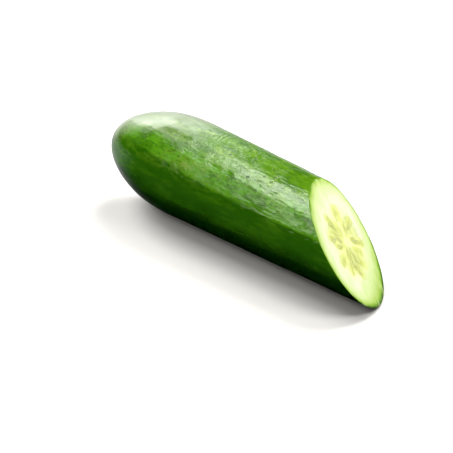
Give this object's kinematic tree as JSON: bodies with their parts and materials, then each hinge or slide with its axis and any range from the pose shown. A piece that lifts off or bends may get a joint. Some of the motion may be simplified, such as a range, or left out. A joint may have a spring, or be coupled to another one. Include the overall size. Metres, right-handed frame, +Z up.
{
  "type": "cucumber",
  "caption": "Long piece of a slicing cucumber with a round blossom end and one slanting cut, lying on its side.",
  "frame": {"origin": "on the surface it lies on, below the middle of its box", "axes": "+X along the fruit from the blossom end to the cut, +Z up"},
  "size_m": [0.1882, 0.0512, 0.0511],
  "materials": {
    "rind": "smooth waxy dark green rind with faint lighter flecks along it",
    "flesh": "moist pale yellow-green flesh, fresh cut",
    "seed": "wet translucent seeds of pale olive"
  },
  "bodies": {
    "root": {"cucumber": "rind"}
  },
  "joints": []
}
